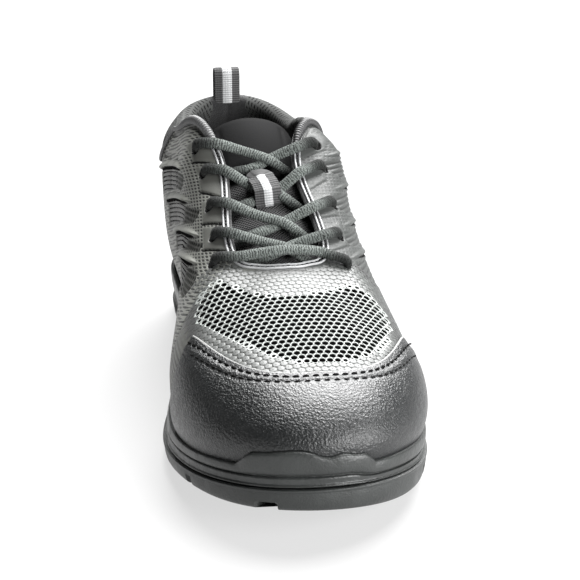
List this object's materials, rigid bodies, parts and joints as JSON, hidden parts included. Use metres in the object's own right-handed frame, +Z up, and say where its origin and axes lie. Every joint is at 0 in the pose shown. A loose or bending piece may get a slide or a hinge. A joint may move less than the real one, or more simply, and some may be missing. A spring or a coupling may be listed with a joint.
{
  "type": "safety shoe",
  "caption": "Low-cut lace-up safety shoe for the left foot: film and mesh upper, bumper toe cap, padded collar, tongue, heel pull loop and a lugged rubber sole with toe spring.",
  "frame": {"origin": "on the floor under the middle of the outsole", "axes": "-Y towards the toe, +X to the outer side of the left foot, +Z up"},
  "size_m": [0.109, 0.2958, 0.1222],
  "materials": {
    "outsole_rubber": "semi-matte black rubber",
    "midsole_foam": "semi-matte dark moulded foam",
    "upper_film": "grey embossed film fused to mesh",
    "cap_leather": "semi-gloss black grained leather",
    "tongue_cloth": "matte black padded cloth",
    "insole_cloth": "matte dark cloth over foam",
    "lace_cord": "ribbed dark grey braid",
    "webbing": "ribbed black webbing with a pale reflective stripe"
  },
  "bodies": {
    "root": {"outsole": "outsole_rubber", "midsole": "midsole_foam", "upper": "upper_film", "vamp": "upper_film", "toe_cap": "cap_leather", "tongue": "tongue_cloth", "insole": "insole_cloth", "lace_bar": "lace_cord", "lace_cross_1": "lace_cord", "lace_cross_2": "lace_cord", "lace_cross_3": "lace_cord", "lace_cross_4": "lace_cord", "lace_keeper": "webbing", "pull_loop": "webbing"}
  },
  "joints": []
}
